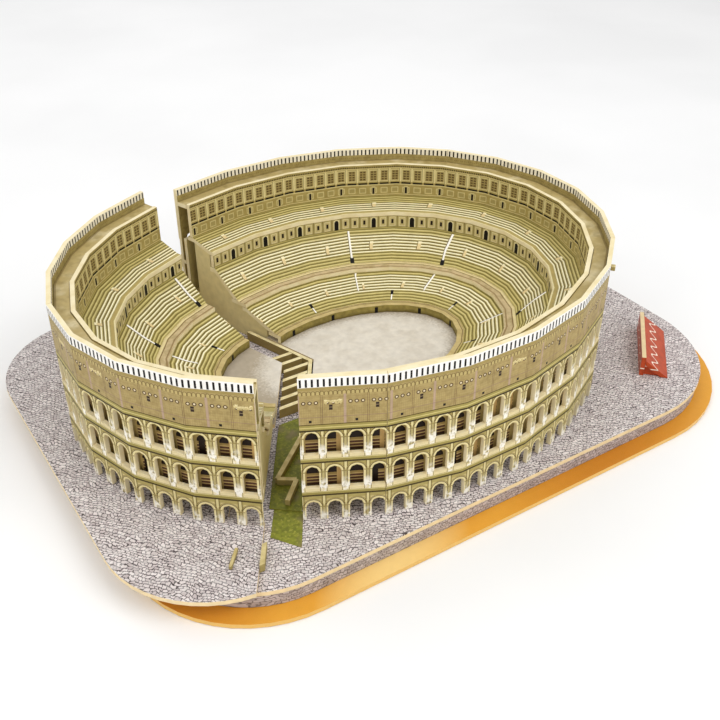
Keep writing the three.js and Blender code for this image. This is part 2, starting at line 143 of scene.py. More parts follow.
def arch_reach(tree, along, up, spring, pitch=BAY):
    """Distance from an arch's upright centre line below the springing, and from its centre above it."""
    wrapped = add(tree, "ShaderNodeMath", {0: along, 1: pitch, 2: 0.0}, operation="WRAP")
    across = add(tree, "ShaderNodeMath", {0: wrapped, 1: pitch / 2}, operation="SUBTRACT")
    height = add(tree, "ShaderNodeMath", {0: up, 1: spring}, operation="SUBTRACT")
    rise = add(tree, "ShaderNodeMath", {0: height, 1: 0.0}, operation="MAXIMUM")
    both = add(tree, "ShaderNodeCombineXYZ", {0: across, 1: rise})
    return add(tree, "ShaderNodeVectorMath", {0: both}, out=1, operation="LENGTH")


def bay_chance(tree, along, seed, least):
    """1 in the bays that chance picks out, the same ones each time."""
    share = add(tree, "ShaderNodeMath", {0: along, 1: BAY}, operation="DIVIDE")
    number = add(tree, "ShaderNodeMath", {0: share}, operation="FLOOR")
    seeded = add(tree, "ShaderNodeMath", {0: number, 1: seed}, operation="ADD")
    value = add(tree, "ShaderNodeTexWhiteNoise", {1: seeded}, noise_dimensions="1D")
    return add(tree, "ShaderNodeMath", {0: value, 1: least}, operation="GREATER_THAN")


def patches(tree, spot, size_mm, least, most):
    """Soft patches of a real size: 0 where the noise is least, 1 where it is most."""
    cloud = add(tree, "ShaderNodeTexNoise", {"Vector": spot, "Scale": MM / size_mm, "Detail": 3.0})
    return add(tree, "ShaderNodeMapRange", {0: cloud, 1: least, 2: most, 3: 0.0, 4: 1.0})


def finish_card(tree, colour, spot, roughness=0.5, mottle=0.07):
    """The laminated paper over a print: faint 4 mm mottle in the ink, a satin sheen, and the shallow tooth
    of 0.3 mm fibres."""
    brightness = 1.04
    blotch = add(tree, "ShaderNodeTexNoise", {"Vector": spot, "Scale": 260.0, "Detail": 4.0})
    tone = add(tree, "ShaderNodeMapRange",
               {0: blotch, 1: 0.3, 2: 0.7, 3: brightness - mottle, 4: brightness + mottle})
    inked = add(tree, "ShaderNodeVectorMath", {0: colour, 3: tone}, operation="SCALE")
    fibre = add(tree, "ShaderNodeTexNoise", {"Vector": spot, "Scale": 3200.0, "Detail": 2.0})
    rough = add(tree, "ShaderNodeMapRange",
                {0: fibre, 1: 0.3, 2: 0.7, 3: roughness - 0.06, 4: roughness + 0.08})
    bump = add(tree, "ShaderNodeBump", {"Height": fibre, "Strength": 0.12, "Distance": 0.00006})
    shader = add(tree, "ShaderNodeBsdfPrincipled",
                 {"Base Color": inked, "Roughness": rough, "Normal": bump, "Specular IOR Level": 0.2})
    add(tree, "ShaderNodeOutputMaterial", {"Surface": shader})


def printed_card(name, paint):
    """Coated art paper, printed in four colours and laminated to the foam: each board's own picture, laid
    by its place on the oval."""
    material, tree, spot = new_material(name)
    place = add(tree, "ShaderNodeAttribute", out="Vector", attribute_name="place")
    along, inward, up = add(tree, "ShaderNodeSeparateXYZ", {0: place}, out=AXES)
    finish_card(tree, paint(tree, along, inward, up, spot), spot)
    return material


# ---------- the outer wall's picture ----------

# A place on a print is in millimetres: along the wall, inward from its outer face, and up from the
# section's board
SECOND_FLOOR, THIRD_FLOOR, ATTIC_FLOOR, PARAPET_FOOT, PARAPET_TOP = 17.3, 38.3, 57.7, 81.8, 90.0
# the storeys of arches: floor, cornice, and the sill and top of the arches
STOREYS = ((0.0, SECOND_FLOOR, -1.0, 12.2), (SECOND_FLOOR, THIRD_FLOOR, 20.7, 34.7),
           (THIRD_FLOOR, ATTIC_FLOOR, 41.7, 55.7))
ARCH_RISE = 3.5


def paint_facade(tree, along, inward, up, spot):
    """Three storeys of arches under an attic and a ticked parapet."""
    colour = ink(tree, "#cdbd84", "#ab9a63", patches(tree, spot, 6, 0.4, 0.68), share=0.45)
    for floor, cornice, sill, top in STOREYS:
        spring = top - ARCH_RISE
        storey = between(tree, up, floor, cornice)
        reach = arch_reach(tree, along, up, spring)
        # shade at the sides of the bay and under the cornice
        colour = ink(tree, colour, "#9c8b50", storey, stripe(tree, along, 0, 1.6, BAY), share=0.55)
        colour = ink(tree, colour, "#a39352", between(tree, up, cornice - 3.4, cornice), share=0.8)
        # engaged half column: two thin lines with a light core
        column = between(tree, up, floor + 1.4, cornice - 1.5)
        colour = ink(tree, colour, "#d6c890", column, stripe(tree, along, 0, 0.6, BAY))
        for side in (-1.0, 1.0):
            colour = ink(tree, colour, "#5f4f28", column, stripe(tree, along, side * 0.9, 0.16, BAY))
        # archivolt, its lines and the imposts
        above = between(tree, up, max(sill, 0.0), top + 3)
        colour = ink(tree, colour, "#dccd96", above, stripe(tree, reach, 4.05, 0.5))
        colour = ink(tree, colour, "#5f4d28", above, stripe(tree, reach, 4.7, 0.2))
        colour = ink(tree, colour, "#86743c", above, stripe(tree, reach, 5.3, 0.16))
        impost = stripe(tree, up, spring, 0.35)
        colour = ink(tree, colour, "#8d7b45", impost, stripe(tree, along, 0, 2.1, BAY), share=0.8)
        # bleached foot of each pier, taller on the upper floors
        foot = floor + (9.0 if floor else 5.6)
        worn = patches(tree, spot, 2.2, 0.36, 0.55)
        pale = add(tree, "ShaderNodeMapRange", {0: up, 1: foot + 1.8, 2: foot - 2.5, 3: 0.0, 4: 1.0})
        colour = ink(tree, colour, "#f4efe2", storey, pale, worn,
                     stripe(tree, along, 0, 2.05, BAY), share=0.95)
        if floor:
            # the balustrade's band, and the pedestals under the columns
            colour = ink(tree, colour, "#dccc9c", between(tree, up, floor + 1.3, floor + 3.4))
            colour = ink(tree, colour, "#8d7b45", stripe(tree, up, floor + 1.4, 0.16))
            for side in (-1.0, 1.0):
                colour = ink(tree, colour, "#6f5d33", between(tree, up, floor + 1.4, floor + 4.4),
                             stripe(tree, along, side * 1.7, 0.14, BAY))
            colour = ink(tree, colour, "#f4efe2", between(tree, up, floor + 1.5, floor + 5.0),
                         stripe(tree, along, 0, 1.3, BAY), worn, share=0.9)
    # string courses
    for floor in (SECOND_FLOOR, THIRD_FLOOR):
        colour = ink(tree, colour, "#9c8d4c", between(tree, up, floor - 0.7, floor + 1.0))
        colour = ink(tree, colour, "#40341a", stripe(tree, up, floor - 1.0, 0.5))
        colour = ink(tree, colour, "#d8ca8c", stripe(tree, up, floor + 1.15, 0.2))
    return paint_attic(tree, colour, along, up, spot)


def paint_attic(tree, colour, along, up, spot):
    """The plain top storey: pilaster lines, studs, small windows, corbels, and the ticked parapet."""
    attic = between(tree, up, ATTIC_FLOOR, PARAPET_FOOT)
    field = ink(tree, "#ad9862", "#8e7848", patches(tree, spot, 2.4, 0.42, 0.66), share=0.55)
    colour = ink(tree, colour, field, attic)
    # faint courses of stone and their upright joints
    colour = ink(tree, colour, "#8b7547", attic, stripe(tree, up, 58.6, 0.1, 1.45), share=0.4)
    colour = ink(tree, colour, "#8b7547", between(tree, up, 60.5, 70.0),
                 stripe(tree, along, 0.5, 0.1, 1.1), share=0.35)
    # pilasters, and the cornice at their feet
    for side in (-1.0, 1.0):
        colour = ink(tree, colour, "#6a4f34", attic, stripe(tree, along, side * 0.42, 0.12, BAY), share=0.8)
    colour = ink(tree, colour, "#b79c88", between(tree, up, 60.5, 79.0),
                 stripe(tree, along, 0, 0.62, 2 * BAY), share=0.75)
    colour = ink(tree, colour, "#8f7263", stripe(tree, up, 64.6, 0.14), share=0.8)
    colour = ink(tree, colour, "#9d8f4e", between(tree, up, 57.0, 60.2))
    colour = ink(tree, colour, "#3c3116", stripe(tree, up, 56.7, 0.5))
    colour = ink(tree, colour, "#cabb76", stripe(tree, up, 58.5, 0.3))
    colour = ink(tree, colour, "#54451f", stripe(tree, up, 60.3, 0.26))
    # three round studs a bay
    wrapped = add(tree, "ShaderNodeMath", {0: along, 1: BAY, 2: 0.0}, operation="WRAP")
    height = add(tree, "ShaderNodeMath", {0: up, 1: 73.0}, operation="SUBTRACT")
    for shift in (-3.0, 0.0, 3.0):
        across = add(tree, "ShaderNodeMath", {0: wrapped, 1: BAY / 2 + shift}, operation="SUBTRACT")
        both = add(tree, "ShaderNodeCombineXYZ", {0: across, 1: height})
        reach = add(tree, "ShaderNodeVectorMath", {0: both}, out=1, operation="LENGTH")
        colour = ink(tree, colour, "#5a4427", stripe(tree, reach, 0, 1.08))
        colour = ink(tree, colour, "#dccdaa", stripe(tree, reach, 0, 0.54))
    # a small window below the middle stud in every other bay, a putlog hole low down in the rest
    window = stripe(tree, along, BAY * 1.5 - 1.2, 0.85, BAY * 2)
    colour = ink(tree, colour, "#33241a", window, between(tree, up, 68.6, 71.6))
    colour = ink(tree, colour, "#8e7d5c", window, stripe(tree, up, 70.2, 0.18))
    hole = stripe(tree, along, BAY * 0.5, 0.68, BAY * 2)
    colour = ink(tree, colour, "#1d1712", hole, between(tree, up, 61.5, 62.9))
    # patches of broken render over some studs
    ragged = add(tree, "ShaderNodeTexNoise", {"Vector": spot, "Scale": 620.0, "Detail": 3.0})
    lower = add(tree, "ShaderNodeMapRange", {0: ragged, 1: 0.3, 2: 0.7, 3: -1.0, 4: 1.0})
    edge = add(tree, "ShaderNodeMath", {0: up, 1: lower}, operation="ADD")
    broken = bay_chance(tree, along, seed=5.0, least=0.84)
    across = stripe(tree, along, BAY / 2, 4.4, BAY)
    colour = ink(tree, colour, "#c8b57c", broken, between(tree, edge, 72.4, 74.4), across)
    colour = ink(tree, colour, "#dfd09c", broken, between(tree, edge, 73.6, 74.2), across)
    # scalloped corbels
    hump = arch_reach(tree, along, up, 78.6, 2.1)
    course = between(tree, up, 77.4, 80.2)
    colour = ink(tree, colour, "#bba76c", course, stripe(tree, hump, 0.4, 0.4))
    colour = ink(tree, colour, "#715e34", course, stripe(tree, hump, 0.9, 0.2), share=0.85)
    colour = ink(tree, colour, "#a08c52", between(tree, up, 80.2, 81.9))
    # parapet
    colour = ink(tree, colour, "#f4f1ea", between(tree, up, PARAPET_FOOT, PARAPET_TOP))
    return ink(tree, colour, "#14100d", between(tree, up, 82.0, 86.3), stripe(tree, along, 1.4, 0.53, 2.8))


def paint_parapet_back(tree, along, inward, up, spot):
    """The parapet seen from the walk: short black ticks on white over a khaki foot."""
    colour = ink(tree, "#a6945a", "#7f6d3c", patches(tree, spot, 2.5, 0.4, 0.68), share=0.55)
    colour = ink(tree, colour, "#786536", stripe(tree, up, 81.2, 0.2), stripe(tree, along, 0.4, 0.28, 1.4))
    colour = ink(tree, colour, "#efe8d2", between(tree, up, 83.2, PARAPET_TOP))
    return ink(tree, colour, "#1c1610", between(tree, up, 83.2, 86.9), stripe(tree, along, 1.4, 0.5, 2.8))


def paint_gallery(tree, along, inward, up, spot):
    """The wall behind the arches: a dark arch head over brown slats in each bay, with a pale niche or a
    dark opening in some."""
    colour = ink(tree, "#bba264", "#8d7644", patches(tree, spot, 5, 0.4, 0.7), share=0.5)
    slat_pitch = 1.9
    for floor in (SECOND_FLOOR, THIRD_FLOOR):
        crown = floor + 13.4
        reach = arch_reach(tree, along, up, floor + 9.6)
        inside = stripe(tree, reach, 0, 3.7)
        body = between(tree, up, floor, crown)
        colour = ink(tree, colour, "#9a814b", body, inside)
        colour = ink(tree, colour, "#22160e", between(tree, up, floor + 9.2, crown), inside)
        colour = ink(tree, colour, "#5a3d2e", inside, between(tree, up, floor, floor + 7.7),
                     stripe(tree, up, floor + 0.9, 0.62, slat_pitch))
        colour = ink(tree, colour, "#c9ad72", inside, between(tree, up, floor, floor + 8.2),
                     stripe(tree, up, floor + 1.85, 0.24, slat_pitch))
        colour = ink(tree, colour, "#2b1c14", inside, between(tree, up, floor, floor + 2.6), share=0.75)
        niche = bay_chance(tree, along, seed=11.0 + floor, least=0.62)
        colour = ink(tree, colour, "#c7a468", niche, body, stripe(tree, along, BAY / 2 + 2.2, 1.2, BAY))
        dark = bay_chance(tree, along, seed=23.0 + floor, least=0.8)
        colour = ink(tree, colour, "#22160e", dark, inside, body,
                     stripe(tree, along, BAY / 2 - 1.2, 1.6, BAY))
    return colour


# ---------- the pictures inside the bowl ----------

def paint_walk(tree, along, inward, up, spot):
    """The walk behind the parapet: khaki with bleached clouds."""
    colour = ink(tree, "#b39f68", "#dccfa8", patches(tree, spot, 14, 0.5, 0.72), share=0.7)
    colour = ink(tree, colour, "#857340", patches(tree, spot, 6, 0.52, 0.75), share=0.55)
    return ink(tree, colour, "#6f5d30", between(tree, inward, 2.0, 3.9), share=0.6)


def paint_attic_inside(tree, along, inward, up, spot):
    """Slatted panels between pale pilasters over blank frames and small doors."""
    colour = ink(tree, "#a8965a", "#8c7a42", patches(tree, spot, 4, 0.4, 0.7), share=0.5)
    middle, door, door_pitch = PANEL / 2, PANEL * 1.5, PANEL * 3
    # panels in pale frames, with two columns of slats each
    for shade, low, high, half in (("#d2c38a", 68.2, 76.8, 3.3), ("#9a8850", 68.8, 76.2, 2.7)):
        across = stripe(tree, along, middle, half, PANEL)
        colour = ink(tree, colour, shade, between(tree, up, low, high), across)
    for side in (-1.0, 1.0):
        slat = stripe(tree, along, middle + side * 1.2, 0.85, PANEL)
        colour = ink(tree, colour, "#58452a", between(tree, up, 69.1, 75.9), slat,
                     stripe(tree, up, 69.9, 0.48, 1.75))
    # pilasters, and the lines above and below them
    pilaster = between(tree, up, 67.6, 77.4)
    colour = ink(tree, colour, "#d6c88f", pilaster, stripe(tree, along, 0, 0.7, PANEL))
    colour = ink(tree, colour, "#6a582f", pilaster, stripe(tree, along, 0.85, 0.16, PANEL))
    colour = ink(tree, colour, "#17110b", stripe(tree, up, 66.7, 0.6),
                 stripe(tree, along, middle, 3.5, PANEL))
    colour = ink(tree, colour, "#d2c38a", stripe(tree, up, 65.7, 0.3))
    colour = ink(tree, colour, "#2e2415", stripe(tree, up, 78.6, 0.5), stripe(tree, along, 0.7, 0.42, 1.4))
    colour = ink(tree, colour, "#cbbb80", stripe(tree, up, 77.6, 0.28))
    # blank frames, and in every third one a small door
    for shade, low, high, centre, half, pitch in (
            ("#cbbd84", 59.6, 63.8, middle, 2.7, PANEL), ("#a2925a", 60.2, 63.2, middle, 2.1, PANEL),
            ("#c6b780", 58.6, 64.6, door, 1.5, door_pitch), ("#221a10", 59.0, 63.6, door, 0.85, door_pitch)):
        across = stripe(tree, along, centre, half, pitch)
        colour = ink(tree, colour, shade, between(tree, up, low, high), across)
    return ink(tree, colour, "#cdbd82", stripe(tree, up, 58.4, 0.3))


def paint_rows(tree, inward, spot, first, last, pitch, bright):
    """Printed seat rows: thin dark lines with a light lip, brightest in the rows between two places."""
    colour = ink(tree, "#b3a45f", "#948548", patches(tree, spot, 6, 0.4, 0.7), share=0.45)
    rows = between(tree, inward, first, last)
    lip = stripe(tree, inward, first + pitch * 0.66, pitch * 0.14, pitch)
    shade = stripe(tree, inward, first + pitch * 0.22, pitch * 0.17, pitch)
    colour = ink(tree, colour, "#d2c484", rows, lip)
    colour = ink(tree, colour, "#776a32", rows, shade)
    light = between(tree, inward, *bright)
    colour = ink(tree, colour, "#ddd09c", light, share=0.45)
    colour = ink(tree, colour, "#f8f1d0", light, lip)
    return ink(tree, colour, "#665927", light, shade)


def stair_blocks(tree, colour, along, inward, pitch, start, low, high):
    """Small stair blocks set in the rows, cream with a dark side and foot."""
    length = between(tree, inward, low, high)
    block = stripe(tree, along, start, 1.5, pitch)
    colour = ink(tree, colour, "#6a5b2e", length, stripe(tree, along, start + 1.7, 0.4, pitch))
    colour = ink(tree, colour, "#dfc994", length, block)
    colour = ink(tree, colour, "#f2e7bd", block, between(tree, inward, low, low + 1.2))
    return ink(tree, colour, "#6a5b2e", stripe(tree, along, start, 1.7, pitch),
               stripe(tree, inward, high, 0.3))


def radial_stairs(tree, colour, along, inward, bays, low, high):
    """Long white stairs down the rows, at the bays given."""
    length = between(tree, inward, low, high)
    for bay in bays:
        colour = ink(tree, colour, "#5d4f2a", stripe(tree, along, bay * BAY + 1.2, 0.35), length)
        colour = ink(tree, colour, "#f8f4ea", stripe(tree, along, bay * BAY, 0.95), length)
    return colour


def foot_doors(tree, colour, along, inward, bays, low, high):
    """Black double doors printed in the rows, at the bays given."""
    length = between(tree, inward, low, high)
    for bay in bays:
        colour = ink(tree, colour, "#0b0806", stripe(tree, along, bay * BAY, 2.1), length)
    return colour


def paint_upper_seats(tree, along, inward, up, spot):
    """The upper tier, with a pale ledge at its inner edge."""
    colour = paint_rows(tree, inward, spot, first=14.2, last=28.4, pitch=2.0, bright=(20.8, 28.4))
    colour = stair_blocks(tree, colour, along, inward, BAY * 4, BAY * 1.5, low=20.2, high=24.6)
    colour = ink(tree, colour, "#b4a062", between(tree, inward, 28.4, 30.5))
    return ink(tree, colour, "#e6daa8", between(tree, inward, 30.5, 33.0))


def paint_doors(tree, along, inward, up, spot):
    """The door wall: black arched doors with three small windows between."""
    colour = ink(tree, "#b6a76e", "#978750", patches(tree, spot, 5, 0.4, 0.7), share=0.5)
    colour = ink(tree, colour, "#5f5129", stripe(tree, along, 0, 0.24, PANEL))
    # the windows' pale frames and dark openings
    for shade, low, high, half in (("#ddd1a2", 42.5, 49.4, 2.7), ("#c2b27c", 43.0, 48.9, 2.2),
                                   ("#241b12", 44.4, 47.6, 1.0)):
        across = stripe(tree, along, PANEL / 2, half, PANEL)
        colour = ink(tree, colour, shade, between(tree, up, low, high), across)
    shifted = add(tree, "ShaderNodeMath", {0: along, 1: PANEL * 1.5}, operation="SUBTRACT")
    reach = arch_reach(tree, shifted, up, spring=47.2, pitch=PANEL * 4)
    colour = ink(tree, colour, "#e0d4a2", stripe(tree, reach, 0, 2.75))
    return ink(tree, colour, "#100c09", stripe(tree, reach, 0, 1.95))


def paint_middle_seats(tree, along, inward, up, spot):
    """The middle tier, with a door at the foot of each of its stairs."""
    stairs = (7.5, 15.7, 23.8, 35.3, 43.65, 56.6, 63.3, 70.5)
    colour = paint_rows(tree, inward, spot, first=31.6, last=49.8, pitch=1.65, bright=(34.5, 44.5))
    colour = stair_blocks(tree, colour, along, inward, BAY * 4, BAY * 1.7, low=38.6, high=43.4)
    colour = radial_stairs(tree, colour, along, inward, stairs, low=32.4, high=47.0)
    return foot_doors(tree, colour, along, inward, stairs, low=47.0, high=49.9)


def paint_ledge(tree, along, inward, up, spot):
    """The gangway between the tiers: pinkish beige, a brown line inside a cream lip."""
    colour = ink(tree, "#cbb68c", "#a4905f", patches(tree, spot, 4, 0.42, 0.68), share=0.7)
    colour = ink(tree, colour, "#e2d29c", between(tree, inward, 48.0, 51.6))
    colour = ink(tree, colour, "#7d6538", stripe(tree, inward, 52.2, 0.3))
    return ink(tree, colour, "#8a6f42", between(tree, inward, 55.6, 56.6), share=0.8)


def paint_lower_seats(tree, along, inward, up, spot):
    """The lower tier: long stairs, and doors with short stairs below them."""
    stairs = (9.0, 17.0, 25.0, 35.5, 43.5, 64.0, 71.0)
    doors = (6.0, 13.5, 21.5, 30.8, 39.4, 49.7, 60.4, 67.5, 75.0)
    colour = paint_rows(tree, inward, spot, first=57.6, last=81.8, pitch=2.3, bright=(60.5, 73.5))
    colour = stair_blocks(tree, colour, along, inward, BAY * 4.5, BAY * 2.2, low=66.5, high=71.5)
    colour = radial_stairs(tree, colour, along, inward, stairs, low=57.6, high=72.0)
    colour = radial_stairs(tree, colour, along, inward, doors, low=76.8, high=81.0)
    return foot_doors(tree, colour, along, inward, doors, low=73.4, high=76.8)


def paint_podium_top(tree, along, inward, up, spot):
    """The rim of the wall round the sand: worn beige with one line."""
    colour = ink(tree, "#c8b47c", "#a89058", patches(tree, spot, 5, 0.4, 0.7), share=0.5)
    return ink(tree, colour, "#7d6a3c", stripe(tree, inward, 83.0, 0.3))


def paint_podium_face(tree, along, inward, up, spot):
    """The wall round the sand: olive, darker at the foot, with small black doors."""
    colour = ink(tree, "#9a8b4a", "#66592c", patches(tree, spot, 3, 0.35, 0.65), share=0.55)
    foot = add(tree, "ShaderNodeMapRange", {0: up, 1: 9.5, 2: 6.8, 3: 0.0, 4: 0.8})
    colour = ink(tree, colour, "#574a26", foot)
    return ink(tree, colour, "#100c09", stripe(tree, along, BAY * 3, 2.6, BAY * 6.4),
               between(tree, up, 6.5, 11.0))


def paint_plain(tree, along, inward, up, spot):
    """Backs and floors printed plain khaki, a little darker in patches."""
    return ink(tree, "#b3a26a", "#94834e", patches(tree, spot, 12, 0.38, 0.7), share=0.6)


# ---------- materials of the flat boards ----------

def flat_card(name, paint, edge="#e6cfa2", facing_up=(0.6, 1.1), **looks):
    """A board with its picture on the faces whose slope is within the limits, and the bare foam or its
    wrap, of one colour, on the rest."""
    material, tree, spot = new_material(name)
    normal = add(tree, "ShaderNodeNewGeometry", out="Normal")
    level = between(tree, add(tree, "ShaderNodeSeparateXYZ", {0: normal}, out="Z"), *facing_up)
    finish_card(tree, ink(tree, edge, paint(tree, spot), level), spot, **looks)
    return material


def setts(tree, vector, stones, joint):
    """Rows of small paving setts, each about 2.5 by 1.7 mm, laid a little unevenly; the vector is in
    millimetres."""
    centre = (0.5, 0.5, 0.5)
    # the rows wander slowly over 9 mm, and each stone is shaken a little
    wander = add(tree, "ShaderNodeTexNoise", {"Vector": vector, "Scale": 0.11, "Detail": 2.0}, out=1)
    centred = add(tree, "ShaderNodeVectorMath", {0: wander, 1: centre}, operation="SUBTRACT")
    far = add(tree, "ShaderNodeVectorMath", {0: centred, 3: 7.0}, operation="SCALE")
    shake = add(tree, "ShaderNodeTexNoise", {"Vector": vector, "Scale": 0.9, "Detail": 1.0}, out=1)
    middle = add(tree, "ShaderNodeVectorMath", {0: shake, 1: centre}, operation="SUBTRACT")
    near = add(tree, "ShaderNodeVectorMath", {0: middle, 3: 1.1}, operation="SCALE")
    moved = add(tree, "ShaderNodeVectorMath", {0: vector, 1: far}, operation="ADD")
    moved = add(tree, "ShaderNodeVectorMath", {0: moved, 1: near}, operation="ADD")
    courses = {"Vector": moved, "Color1": linear(stones[0]), "Color2": linear(stones[1]),
               "Mortar": linear(joint), "Scale": 1.0, "Mortar Size": 0.22, "Mortar Smooth": 0.25,
               "Bias": -0.1, "Brick Width": 2.5, "Row Height": 1.7}
    rows = add(tree, "ShaderNodeTexBrick", courses)
    # worn, paler stones in patches of 3 mm
    cell = add(tree, "ShaderNodeTexNoise", {"Vector": vector, "Scale": 0.35, "Detail": 3.0})
    worn = add(tree, "ShaderNodeMapRange", {0: cell, 1: 0.45, 2: 0.72, 3: 0.0, 4: 0.4})
    return ink(tree, rows, stones[2], worn)


def paving_turned(angle):
    """The base's paving picture, its rows turned by an angle."""
    def paint(tree, spot):
        turned = add(tree, "ShaderNodeMapping", {"Vector": spot, "Rotation": (0.0, 0.0, angle),
                                                 "Scale": (MM, MM, MM)})
        return setts(tree, turned, ("#e4dbd9", "#bdb1b0", "#f6f2ef"), "#4d4344")
    return paint


def riser_card():
    """Darker setts on paper wrapped round the riser; the rows run along whichever way the wall runs."""
    material, tree, spot = new_material("paper_wrap_setts_on_riser")
    x, y, z = add(tree, "ShaderNodeSeparateXYZ", {0: spot}, out=AXES)
    around = add(tree, "ShaderNodeMath", {0: x, 1: y}, operation="ADD")
    wall = add(tree, "ShaderNodeCombineXYZ", {0: around, 1: z})
    scaled = add(tree, "ShaderNodeVectorMath", {0: wall, 3: MM}, operation="SCALE")
    finish_card(tree, setts(tree, scaled, ("#c3b8b5", "#a0948f", "#d3cac6"), "#6f645f"), spot)
    return material


def paint_gold(tree, spot):
    """A gold ground with painted reflections: broad painted highlight sweeps and darker painted sweeps across
    an orange ground.
    """
    slanted = add(tree, "ShaderNodeMapping", {"Vector": spot, "Rotation": (0.0, 0.0, 0.62)})
    across = add(tree, "ShaderNodeSeparateXYZ", {0: slanted}, out="X")
    wave = add(tree, "ShaderNodeMath", {0: across, 1: 26.0, 2: 0.9}, operation="MULTIPLY_ADD")
    sweep = add(tree, "ShaderNodeMath", {0: wave}, operation="SINE")
    # painted reflections: darker painted sweeps where the wave is low, painted highlights where it is high
    low = add(tree, "ShaderNodeMapRange", {0: sweep, 1: -1.0, 2: 0.2, 3: 1.0, 4: 0.0})
    high = add(tree, "ShaderNodeMapRange", {0: sweep, 1: 0.55, 2: 1.0, 3: 0.0, 4: 1.0})
    colour = ink(tree, "#e0a03a", "#c67f26", low)
    return ink(tree, colour, "#f4d48c", high, share=0.85)


def paint_sand(tree, spot):
    """Pale arena sand, turning darker brown in a ragged band towards the wall."""
    half_length, half_width = 69.0, 44.0
    shares = {0: spot, 1: (MM / half_length, MM / half_width, 0.0)}
    rounded = add(tree, "ShaderNodeVectorMath", shares, operation="MULTIPLY")
    reach = add(tree, "ShaderNodeVectorMath", {0: rounded}, out=1, operation="LENGTH")
    grain = add(tree, "ShaderNodeTexNoise", {"Vector": spot, "Scale": 700.0, "Detail": 4.0})
    loose = add(tree, "ShaderNodeMath", {0: grain, 1: 0.28, 2: -0.14}, operation="MULTIPLY_ADD")
    shifted = add(tree, "ShaderNodeMath", {0: reach, 1: loose}, operation="ADD")
    fringe = add(tree, "ShaderNodeMapRange", {0: shifted, 1: 0.86, 2: 1.02, 3: 0.0, 4: 0.7})
    colour = ink(tree, "#dcd5c8", "#cbc2b2", patches(tree, spot, 9, 0.42, 0.66), share=0.6)
    return ink(tree, colour, "#97866a", fringe)


def paint_grass(tree, spot):
    """Rough grass with bare earth and a few stones showing."""
    colour = ink(tree, "#83872f", "#676b28", patches(tree, spot, 2.2, 0.4, 0.62), share=0.8)
    colour = ink(tree, colour, "#a9a548", patches(tree, spot, 1.3, 0.55, 0.7), share=0.7)
    return ink(tree, colour, "#7f7350", patches(tree, spot, 16, 0.5, 0.62), share=0.9)


def paint_rubble(tree, spot):
    """Tops of the broken walls: khaki, lighter where worn."""
    return ink(tree, "#c0ae76", "#e0d19c", patches(tree, spot, 5, 0.4, 0.65), share=0.7)


def paint_plate(tree, spot):
    """The nameplate: brick red, with one plain wavy line in place of any lettering."""
    wavelength, swell, height = 9.0, 1.35, BASE_TOP + 6.3
    laid = add(tree, "ShaderNodeMapping", {"Vector": spot, "Rotation": (0.0, 0.0, -math.pi / 4),
                                           "Scale": (MM, MM, MM)})
    lengthways, _, up = add(tree, "ShaderNodeSeparateXYZ", {0: laid}, out=AXES)
    colour = ink(tree, "#bd4c27", "#9d3a1f", patches(tree, spot, 5, 0.4, 0.66), share=0.6)
    turns = add(tree, "ShaderNodeMath", {0: lengthways, 1: 2 * math.pi / wavelength}, operation="MULTIPLY")
    wave = add(tree, "ShaderNodeMath", {0: turns}, operation="SINE")
    swing = add(tree, "ShaderNodeMath", {0: wave, 1: swell, 2: height}, operation="MULTIPLY_ADD")
    off = add(tree, "ShaderNodeMath", {0: up, 1: swing}, operation="SUBTRACT")
    return ink(tree, colour, "#f1e2cf", stripe(tree, off, 0.0, 0.36))


def foam_core():
    """Extruded polystyrene foam, die cut: a warm cream edge, matt, with tiny closed cells."""
    material, tree, spot = new_material("polystyrene_foam_cut_edge")
    colour = ink(tree, "#f1e4bd", "#e3d09b", patches(tree, spot, 8, 0.4, 0.68), share=0.7)
    cells = add(tree, "ShaderNodeTexVoronoi", {"Vector": spot, "Scale": 2400.0})
    bump = add(tree, "ShaderNodeBump", {"Height": cells, "Strength": 0.25, "Distance": 0.0001})
    rough = add(tree, "ShaderNodeMapRange", {0: cells, 1: 0.0, 2: 1.0, 3: 0.66, 4: 0.82})
    shader = add(tree, "ShaderNodeBsdfPrincipled",
                 {"Base Color": colour, "Roughness": rough, "Normal": bump, "IOR": 1.45})
    add(tree, "ShaderNodeOutputMaterial", {"Surface": shader})
    return material


FOAM = foam_core()
FACADE = printed_card("laminated_card_arcade", paint_facade)
PARAPET_BACK = printed_card("laminated_card_parapet_back", paint_parapet_back)
GALLERY = printed_card("laminated_card_gallery", paint_gallery)
WALK = printed_card("laminated_card_wall_walk", paint_walk)
ATTIC_INSIDE = printed_card("laminated_card_attic_inside", paint_attic_inside)
UPPER_SEATS = printed_card("laminated_card_upper_seats", paint_upper_seats)
DOORS = printed_card("laminated_card_door_wall", paint_doors)
MIDDLE_SEATS = printed_card("laminated_card_middle_seats", paint_middle_seats)
LEDGE = printed_card("laminated_card_gangway", paint_ledge)
LOWER_SEATS = printed_card("laminated_card_lower_seats", paint_lower_seats)
PODIUM_TOP = printed_card("laminated_card_podium_top", paint_podium_top)
PODIUM_FACE = printed_card("laminated_card_podium_face", paint_podium_face)
PLAIN = printed_card("laminated_card_plain_khaki", paint_plain)


# ---------- places on the oval ----------

def angle_along(start, end, share):
    """The angle that lies a share of the arc length from start to end, as the boards are folded."""
    steps = 400
    step = (end - start) / steps
    lengths = [0.0]
    for index in range(steps):
        middle = start + (index + 0.5) * step
        slope = math.hypot(HALF_LENGTH * math.sin(middle), HALF_WIDTH * math.cos(middle))
        lengths.append(lengths[-1] + slope * step)
    found = next(i for i, length in enumerate(lengths) if length >= share * lengths[-1])
    return start + found * step


